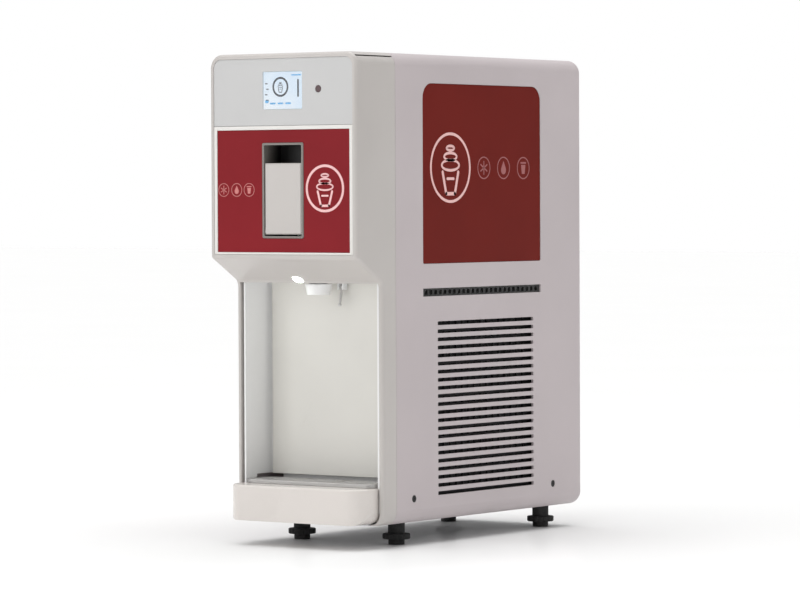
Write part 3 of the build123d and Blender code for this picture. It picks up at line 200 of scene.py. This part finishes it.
def painted(name, colour, rough=0.42, grain=1400.0, depth=0.00006, wear=1.12, coat=0.0):
    """Moulded or powder-coated housing: fine orange peel, faint mottling and lighter edges."""
    made = Shader(name)
    cloud = made.noise(6.0, 4.0)
    fine = made.noise(grain, 2.0)
    base = made.varied(cloud, colour, 0.975, 1.02, 0.35, 0.65)
    patches = made.spread(made.noise(70.0, 4.0), 0.2, 0.9, 0.35, 0.65)
    rubbed = made.combine("MULTIPLY", made.edge(0.0009), patches)
    made.colour(made.blend(rubbed, base, scaled(colour, wear)))
    uneven = made.combine("ADD", cloud, made.combine("MULTIPLY", fine, 0.5))
    made.rough(made.spread(uneven, rough - 0.06, rough + 0.07, 0.5, 1.0))
    made.relief(fine, 0.25, depth)
    if coat:
        made.fixed(Coat_Weight=coat, Coat_Roughness=0.12)
    return made.material


def glossy_panel(name, colour, rough=0.38):
    """Printed panel under a clear satin film: slight pooling of colour and hairline scuffs."""
    made = Shader(name)
    cloud = made.noise(9.0, 3.0)
    scuff = made.noise(60.0, 5.0, 0.6, (1.0, 1.0, 14.0))
    base = made.varied(cloud, colour, 0.93, 1.06)
    made.colour(made.blend(made.spread(scuff, 0.0, 0.02, 0.62, 0.8), base, SCUFF))
    made.rough(made.spread(scuff, rough - 0.02, rough + 0.05, 0.35, 0.75))
    made.relief(made.noise(900.0, 2.0), 0.08, 0.00002, 0.0006)
    made.fixed(Specular_IOR_Level=0.10)
    return made.material


def recess_with_painted_shade(name, front, back):
    """Handle recess: a warm grey rim, and painted shade that goes near black deep in the hollow."""
    made = Shader(name)
    apart = made.node("ShaderNodeSeparateXYZ")
    made.link(made.place, apart.inputs["Vector"])
    # painted shade: the colour darkens to near black with depth into the hollow
    depth = made.spread(apart.outputs["Y"], 0.0, 1.0, head_front + 9 * MM, head_front + 36 * MM)
    fine = made.noise(1300.0, 3.0)
    worn = made.combine("MULTIPLY", made.edge(0.0010), 0.8)
    rim = made.blend(worn, made.varied(fine, front, 0.93, 1.07), WORN_RIM)
    made.colour(made.blend(depth, rim, back))
    made.rough(made.spread(fine, 0.38, 0.55, 0.3, 0.7))
    made.relief(fine, 0.25, 0.00006, 0.0008)
    return made.material


def brushed(name, colour, rough=0.3):
    """Metal with fine parallel brushing, faint stains and brighter rubbed edges."""
    made = Shader(name)
    lines = made.noise(45.0, 6.0, 0.65, (1.0, 40.0, 40.0))
    stain = made.spread(made.noise(14.0, 4.0), 0.0, 0.25, 0.55, 0.75)
    base = made.blend(stain, made.varied(lines, colour, 0.84, 1.1), scaled(colour, 0.7))
    made.colour(made.blend(made.edge(0.0006), base, scaled(colour, 1.25)))
    made.rough(made.spread(lines, rough - 0.07, rough + 0.12, 0.3, 0.7))
    made.relief(lines, 0.18, 0.00004, 0.0004)
    made.fixed(Metallic=1.0)
    return made.material


def mottled_metal(name, colour, rough, scale, spots):
    """Zinc plate, casting or copper tube: spangle or grain with dull spots."""
    made = Shader(name)
    cells = made.pattern("Voronoi", "Distance", Scale=scale)
    grain = made.noise(scale * 4, 4.0)
    both = made.combine("ADD", made.combine("MULTIPLY", cells, 0.7), grain)
    dull = made.spread(made.noise(22.0, 5.0), 0.0, 0.5, 0.56, 0.72)
    made.colour(made.blend(dull, made.varied(both, colour, 0.8, 1.12, 0.4, 1.1), spots))
    made.rough(made.spread(both, rough - 0.08, rough + 0.12, 0.4, 1.1))
    made.relief(grain, 0.3, 0.00012)
    made.fixed(Metallic=0.9)
    return made.material


def dark_plastic(name, colour, rough, grain=700.0, dust=0.06, depth=0.00012):
    """Black plastic, rubber or enamel: fine grain, dust in the open and grey rubbed edges."""
    made = Shader(name)
    fine = made.noise(grain, 3.0)
    settled = made.spread(made.noise(30.0, 5.0), 0.0, dust, 0.45, 0.75)
    rubbed = made.combine("MULTIPLY", made.edge(0.0005), 0.35)
    made.colour(made.blend(rubbed, made.blend(settled, colour, DUST), RUBBED_GREY))
    made.rough(made.spread(fine, rough - 0.08, rough + 0.10, 0.3, 0.7))
    made.relief(fine, 0.35, depth)
    return made.material


def woven_filter(name):
    """Air filter: square mesh of near-black threads with lint; the black is partly painted shade.
    """
    made = Shader(name)
    bands = [made.pattern("Wave", "Fac", Scale=330.0, bands_direction=way) for way in ("Y", "Z")]
    mesh = made.combine("MAXIMUM", *bands)
    # the near-black is partly the mesh's own colour and partly painted shade of the vents' interior
    threads = made.blend(mesh, (0.006, 0.006, 0.006), (0.05, 0.05, 0.052))
    fluff = made.spread(made.noise(40.0, 5.0), 0.0, 0.25, 0.55, 0.8)
    made.colour(made.blend(fluff, threads, LINT))
    made.rough(made.spread(mesh, 0.9, 0.6))
    made.relief(mesh, 0.8, 0.0004)
    return made.material


def rigid_foam(name):
    """Sprayed insulation: pitted cream foam."""
    made = Shader(name)
    cells = made.pattern("Voronoi", "Distance", Scale=420.0)
    lumps = made.noise(30.0, 5.0)
    level = made.spread(lumps, 0.0, 1.0, 0.35, 0.65)
    made.colour(made.blend(level, (0.62, 0.50, 0.28), (0.76, 0.68, 0.46)))
    made.rough(made.spread(lumps, 0.75, 0.95))
    made.relief(made.combine("ADD", cells, lumps), 0.7, 0.0006)
    return made.material


def circuit_board(name):
    """Solder mask over traces, with paler pads."""
    made = Shader(name)
    traces = made.pattern("Brick", "Fac", Scale=190.0, offset=0.5, **{"Mortar Size": 0.09})
    pads = made.spread(made.pattern("Voronoi", "Distance", Scale=260.0), 0.8, 0.0, 0.1, 0.16)
    mask = made.blend(traces, (0.012, 0.11, 0.045), (0.03, 0.22, 0.10))
    made.colour(made.blend(pads, mask, (0.6, 0.58, 0.5)))
    made.rough(made.spread(made.noise(50.0), 0.3, 0.45))
    made.relief(traces, 0.3, 0.00008)
    return made.material


def clear_lens(name):
    """Clear cover with a faint haze and finger smears in its roughness."""
    made = Shader(name)
    smear = made.noise(35.0, 5.0)
    made.colour(made.blend(smear, (0.93, 0.95, 0.97), (1.0, 1.0, 1.0)))
    made.rough(made.spread(smear, 0.02, 0.12, 0.4, 0.75))
    made.relief(smear, 0.03, 0.00002, 0.0004)
    made.fixed(Transmission_Weight=1.0, IOR=1.3)
    return made.material


def lit_screen(name):
    """Backlit screen: a cool, slightly uneven white with fine pixel rows."""
    made = Shader(name)
    rows = made.spread(made.pattern("Wave", "Fac", Scale=500.0, bands_direction="Z"), 0.0, 0.08)
    glow = made.noise(14.0, 2.0)
    level = made.spread(glow, 0.0, 1.0, 0.35, 0.65)
    tone = made.blend(level, (0.74, 0.87, 1.0), (0.93, 0.97, 1.0))
    made.emit(made.blend(rows, tone, (0.45, 0.6, 0.8)), 0.8)
    made.colour(made.blend(glow, (0.05, 0.06, 0.07), (0.08, 0.09, 0.10)))
    made.rough(made.spread(glow, 0.2, 0.35))
    return made.material


def lamp_diffuser(name):
    """Opal diffuser of the bay lamp, brighter in the middle of its ribs."""
    made = Shader(name)
    ribs = made.pattern("Wave", "Fac", Scale=120.0, bands_direction="X")
    made.emit(made.blend(ribs, (0.72, 1.0, 0.80), (0.9, 1.0, 0.93)), 12.0)
    made.colour(made.blend(ribs, (0.8, 0.85, 0.8), (0.9, 0.92, 0.9)))
    made.rough(made.spread(ribs, 0.3, 0.5))
    made.relief(ribs, 0.3, 0.0002)
    return made.material


def ink(name, colour, glow=0.0):
    """Screen-printed ink: slightly uneven cover, semi-matte."""
    made = Shader(name)
    cover = made.noise(1500.0, 3.0)
    tone = made.varied(cover, colour, 0.9, 1.0)
    made.colour(tone)
    made.rough(made.spread(cover, 0.35, 0.55))
    made.relief(cover, 0.2, 0.00002)
    if glow:
        made.emit(tone, glow)
    return made.material


MATERIALS = {
    "case_plastic": painted("case_plastic", (0.53, 0.475, 0.485)),
    "front_plastic": painted("front_plastic", (0.53, 0.50, 0.478), 0.34, coat=0.15),
    "fascia_silver": painted("fascia_silver", (0.55, 0.548, 0.546), 0.38, 2200.0, 0.00003, 1.08),
    "trim_light": painted("trim_light", (0.74, 0.72, 0.69), 0.24, coat=0.4),
    "red_panel": glossy_panel("red_panel", (0.225, 0.0125, 0.018)),
    "red_side": glossy_panel("red_side", (0.152, 0.010, 0.006), 0.42),
    "white_plastic": painted("white_plastic", (0.87, 0.865, 0.86), 0.3, 1100.0),
    # the handle recess: its near-black inside is painted shade
    "bezel_grey": recess_with_painted_shade("bezel_grey", (0.20, 0.185, 0.17), (0.006, 0.006, 0.006)),
    "black_plastic": dark_plastic("black_plastic", (0.012, 0.012, 0.012), 0.42),
    "rubber_black": dark_plastic("rubber_black", (0.01, 0.01, 0.01), 0.7, 420.0, 0.1, 0.0002),
    "stainless": brushed("stainless", (0.62, 0.61, 0.60)),
    "plated_steel": mottled_metal("plated_steel", (0.58, 0.58, 0.59), 0.4, 90.0,
                                  (0.42, 0.42, 0.44)),
    "copper": mottled_metal("copper", (0.72, 0.33, 0.19), 0.34, 160.0, (0.30, 0.13, 0.08)),
    "lens_glass": clear_lens("lens_glass"),
    "screen": lit_screen("screen"),
    "lamp": lamp_diffuser("lamp"),
    "board_green": circuit_board("board_green"),
    "foam": rigid_foam("foam"),
    "grey_casting": mottled_metal("grey_casting", (0.36, 0.37, 0.38), 0.5, 300.0,
                                  (0.24, 0.24, 0.25)),
    "motor_black": dark_plastic("motor_black", (0.014, 0.014, 0.017), 0.33, 260.0, 0.08),
    "filter_mesh": woven_filter("filter_mesh"),
}
INKS = {
    "ink_pink": ink("ink_pink", (0.93, 0.56, 0.56)),
    "ink_dim": ink("ink_dim", (0.62, 0.20, 0.19)),
    "ink_side": ink("ink_side", (0.90, 0.55, 0.53)),
    "ink_side_dim": ink("ink_side_dim", (0.40, 0.13, 0.13)),
    "pixel_dark": ink("pixel_dark", (0.05, 0.06, 0.08)),
    "pixel_blue": ink("pixel_blue", (0.10, 0.35, 0.62), 0.5),
}
OWN = {
    "power_button": dark_plastic("button_brown", (0.085, 0.045, 0.05), 0.32),
    "drip_grid": brushed("grid_steel", (0.52, 0.51, 0.50), 0.36),
    "bay_liner": painted("liner_white", (0.90, 0.90, 0.90), 0.3, 1100.0),
    "hopper_lid": painted("lid_grey", (0.56, 0.54, 0.53), 0.36, 1100.0),
    "case_screws": dark_plastic("screw_black", (0.006, 0.006, 0.006), 0.5, 900.0, 0.0),
    "drip_tray": painted("tray_cream", (0.70, 0.655, 0.62), 0.28, coat=0.3),
    "splash_back": painted("splash_warm", (0.73, 0.715, 0.67), 0.32, 1100.0),
}


def paint_nodes():
    """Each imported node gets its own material, or the one of the slot that the record gives it."""
    for part in frame["record"]["subparts"]:
        shape = nodes[part["node"]]
        shape.data.materials.clear()
        shape.data.materials.append(OWN.get(part["node"], MATERIALS[part["material_slot"]]))


paint_nodes()


# ---------------- flat printed marks


RING_STEPS = 96
PILL_STEPS = 10
DROP_STEPS = 16
LARGE_INK, SMALL_INK, SCREEN_INK = 0.00012, 0.00010, 0.00003
SCREEN_GAP = 0.00002
MARK_PEN = 0.055


def piece(name, mesh, material, body):
    made = bpy.data.objects.new(name, mesh)
    bpy.context.scene.collection.objects.link(made)
    mesh.materials.append(material)
    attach(made, body)


def plate(outlines, face, outward, thick):
    """A mesh of flat shapes on an upright plane, each an outline of (across, up) points."""
    across = Vector((0, 1, 0)) if outward.x else Vector((1, 0, 0))
    up = Vector((0, 0, 1))
    work = bmesh.new()
    for outline in outlines:
        base = [face + across * a + up * b for a, b in outline]
        low = [work.verts.new(point) for point in base]
        high = [work.verts.new(point + outward * thick) for point in base]
        count = len(outline)
        work.faces.new(high)
        work.faces.new(list(reversed(low)))
        for i in range(count):
            work.faces.new((low[i], low[(i + 1) % count], high[(i + 1) % count], high[i]))
    bmesh.ops.recalc_face_normals(work, faces=work.faces)
    mesh = bpy.data.meshes.new("plate")
    work.to_mesh(mesh)
    work.free()
    return mesh


def ring_outlines(centre, radius, stroke, squash=1.0):
    """A ring of short quads round a centre; squash makes it lower than it is wide."""
    made = []
    for i in range(RING_STEPS):
        first, second = (2 * math.pi * (i + k) / RING_STEPS for k in (0, 1))
        corners = [(first, -0.5), (second, -0.5), (second, 0.5), (first, 0.5)]
        made.append([(centre[0] + (radius + s * stroke) * math.cos(t),
                      centre[1] + (radius * squash + s * stroke) * math.sin(t))
                     for t, s in corners])
    return made


def pill(centre, half_length, half_width, tilt=0.0):
    """A bar with round ends."""
    points = []
    for end, side in ((0, 1), (1, -1)):
        for i in range(PILL_STEPS + 1):
            t = math.pi * (end + i / PILL_STEPS) - math.pi / 2
            x = (half_length - half_width) * side + half_width * math.cos(t)
            y = half_width * math.sin(t)
            points.append((centre[0] + x * math.cos(tilt) - y * math.sin(tilt),
                           centre[1] + x * math.sin(tilt) + y * math.cos(tilt)))
    return points


def stroke_line(points, width):
    """A line through the points, as bars with round ends."""
    made = []
    for (x0, z0), (x1, z1) in zip(points, points[1:]):
        middle = ((x0 + x1) / 2, (z0 + z1) / 2)
        half = math.hypot(x1 - x0, z1 - z0) / 2 + width / 2
        made.append(pill(middle, half, width / 2, math.atan2(z1 - z0, x1 - x0)))
    return made


def serve_mark(centre, size):
    """A generic serving in line: three rounded layers over a plain tapered cup."""
    x, z = centre
    pen = size * MARK_PEN
    shapes = []
    for layer in range(3):
        middle = (x, z + size * (0.05 + 0.17 * layer))
        shapes += ring_outlines(middle, size * (0.30 - 0.085 * layer), pen, 0.34)
    cup = [(-0.27, -0.09), (-0.15, -0.52), (0.15, -0.52), (0.27, -0.09)]
    label = [(-0.11, -0.22), (0.11, -0.22)]
    for line, width in ((cup, pen * 1.3), (label, pen)):
        shapes += stroke_line([(x + size * a, z + size * b) for a, b in line], width)
    return shapes


def flake_mark(centre, size):
    """Three crossed bars."""
    return [pill(centre, size, size * 0.10, math.radians(60 * k + 30)) for k in range(3)]


def drop_mark(centre, size):
    """A plain drop."""
    x, z = centre
    first, sweep = 35, 250
    points = [(x, z + size)]
    for i in range(DROP_STEPS + 1):
        t = math.radians(first - sweep * i / DROP_STEPS)
        points.append((x + size * 0.62 * math.cos(t), z - size * 0.3 + size * 0.62 * math.sin(t)))
    return [list(reversed(points))]


def cup_mark(centre, size):
    """A tapered cup with a lid bar."""
    x, z = centre
    cup = [(-0.55, 0.45), (-0.36, -0.85), (0.36, -0.85), (0.55, 0.45)]
    return [[(x + size * a, z + size * b) for a, b in cup],
            pill((x, z + size * 0.75), size * 0.72, size * 0.12)]


def ringed_serving(centre, radius, stroke, size):
    return ring_outlines(centre, radius, stroke) + serve_mark(centre, size)


def small_marks(places, z, size, radius, stroke):
    """A flake, a drop and a cup in a row, each in its own thin ring."""
    made = []
    for across, mark in zip(places, (flake_mark, drop_mark, cup_mark)):
        made += mark((across, z), size) + ring_outlines((across, z), radius, stroke)
    return made


def front_prints():
    """The light ring on the red front panel and the row of small marks beside the handle."""
    face = Vector((0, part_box("front_decor")[0][1], 0))
    outward = Vector((0, -1, 0))
    large = ringed_serving((76 * MM, 523.6 * MM), 32.6 * MM, 3.8 * MM, 48 * MM)
    piece("front_ring_mark", plate(large, face, outward, LARGE_INK), INKS["ink_pink"], "case")
    places = [x * MM for x in (-109, -85, -62)]
    small = small_marks(places, 522 * MM, 6.4 * MM, 9.4 * MM, 1.1 * MM)
    piece("front_small_marks", plate(small, face, outward, SMALL_INK), INKS["ink_dim"], "case")


def side_prints(side, name):
    """The same marks, larger, on a red side panel; side is 1 on the right and -1 on the left."""
    face = Vector((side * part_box("side_decor_panels")[1][0], 0, 0))
    outward = Vector((side, 0, 0))
    row = 553.7 * MM
    large = ringed_serving((head_front + 234 * MM, row), 50 * MM, 4.2 * MM, 74 * MM)
    piece(f"side_ring_mark_{name}", plate(large, face, outward, LARGE_INK), INKS["ink_side"],
          "case")
    places = [head_front + depth * MM for depth in (321, 373, 426)]
    small = small_marks(places, row, 10.5 * MM, 16 * MM, 1.8 * MM)
    piece(f"side_small_marks_{name}", plate(small, face, outward, SMALL_INK),
          INKS["ink_side_dim"], "case")


def screen_graphics():
    """Plain dial, level bar and ticks between the screen and its lens."""
    low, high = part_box("display_module")
    face = Vector((0, low[1] - SCREEN_GAP, 0))
    outward = Vector((0, -1, 0))
    mid_x, mid_z = -4.6 * MM, (low[2] + high[2]) / 2
    dark = ringed_serving((mid_x, mid_z + 5 * MM), 13 * MM, 3.0 * MM, 15 * MM)
    dark += [pill((27.5 * MM, mid_z + 3 * MM), 13 * MM, 1.5 * MM, math.pi / 2)]
    for k in range(4):
        inset, rise = (5 + 2 * (k % 2)) * MM, (10 - 8 * k) * MM
        dark += [pill((low[0] + inset, mid_z + rise), 2.4 * MM, 0.8 * MM)]
    piece("screen_dial", plate(dark, face, outward, SCREEN_INK), INKS["pixel_dark"], "case")
    blue = [pill((mid_x + (k - 1) * 14 * MM, low[2] + 8 * MM), 5.2 * MM, 1.3 * MM)
            for k in range(3)]
    blue += [pill((24 * MM, high[2] - 5 * MM), 9 * MM, 1.0 * MM)]
    blue += [pill((low[0] + 6 * MM, mid_z - 16 * MM), 3.4 * MM, 2.2 * MM)]
    piece("screen_ticks", plate(blue, face, outward, SCREEN_INK), INKS["pixel_blue"], "case")


front_prints()
side_prints(1, "right")
side_prints(-1, "left")
screen_graphics()


# ---------------- studio


FLOOR_HALF = 25.0
FLOOR_DROP = 0.0004
WORLD_LOW, WORLD_HIGH = 0.20, 0.62
OVERHEAD_POWER, OVERHEAD_SPREAD = 2.15, 70
SOFTBOX_POWER, SOFTBOX_SIZE = 27, 2.2


def floor_material():
    """Near-white sweep with a faint polished reflection."""
    made = Shader("studio_floor")
    cloud = made.noise(1.5, 3.0)
    made.colour(made.blend(cloud, (0.95, 0.95, 0.945), (0.97, 0.97, 0.97)))
    made.rough(made.spread(cloud, 0.42, 0.55))
    made.fixed(Specular_IOR_Level=0.0)
    gloss = made.node("ShaderNodeBsdfGlossy", Roughness=0.07)
    both = made.node("ShaderNodeMixShader", Fac=0.22)
    made.link(made.surface.outputs["BSDF"], both.inputs[1])
    made.link(gloss.outputs["BSDF"], both.inputs[2])
    made.link(both.outputs["Shader"], made.tree.nodes["Material Output"].inputs["Surface"])
    return made.material


def make_floor():
    mesh = bpy.data.meshes.new("studio_floor")
    work = bmesh.new()
    bmesh.ops.create_grid(work, x_segments=4, y_segments=4, size=FLOOR_HALF)
    work.to_mesh(mesh)
    work.free()
    mesh.materials.append(floor_material())
    made = bpy.data.objects.new("studio_floor", mesh)
    bpy.context.scene.collection.objects.link(made)
    made.location.z = -FLOOR_DROP


def softbox(name, place, aim, size, power):
    data = bpy.data.lights.new(name, "AREA")
    data.size = size
    data.energy = power
    made = bpy.data.objects.new(name, data)
    made.location = place
    made.rotation_euler = (Vector(aim) - Vector(place)).to_track_quat("-Z", "Y").to_euler()
    bpy.context.scene.collection.objects.link(made)


def overhead(name, strength):
    """A very wide soft source straight above, which lights the floor evenly out to its edge."""
    data = bpy.data.lights.new(name, "SUN")
    data.energy = strength
    data.angle = math.radians(OVERHEAD_SPREAD)
    made = bpy.data.objects.new(name, data)
    made.location = (0, 0, 3)
    bpy.context.scene.collection.objects.link(made)


def make_world():
    """White to the camera; as a light, weaker near the horizon than higher up."""
    world = bpy.data.worlds.new("studio")
    bpy.context.scene.world = world
    world.use_nodes = True
    tree = world.node_tree
    background = tree.nodes["Background"]
    background.inputs["Color"].default_value = (1.0, 1.0, 1.0, 1)
    seen, place, apart, height, level = (tree.nodes.new("ShaderNode" + kind) for kind in (
        "LightPath", "TexCoord", "SeparateXYZ", "MapRange", "Math"))
    ramp = {"From Min": 0.04, "From Max": 0.40, "To Min": WORLD_LOW, "To Max": WORLD_HIGH}
    for socket, value in ramp.items():
        height.inputs[socket].default_value = value
    level.operation = "MAXIMUM"
    tree.links.new(place.outputs["Generated"], apart.inputs["Vector"])
    tree.links.new(apart.outputs["Z"], height.inputs["Value"])
    tree.links.new(seen.outputs["Is Camera Ray"], level.inputs[0])
    tree.links.new(height.outputs["Result"], level.inputs[1])
    tree.links.new(level.outputs["Value"], background.inputs["Strength"])


def make_studio():
    make_world()
    overhead("overhead", OVERHEAD_POWER)
    softbox("front_left", (-1.6, -3.4, 1.5), (0, -0.1, 0.4), SOFTBOX_SIZE, SOFTBOX_POWER)
    bpy.context.scene.view_settings.view_transform = "Standard"


make_floor()
make_studio()
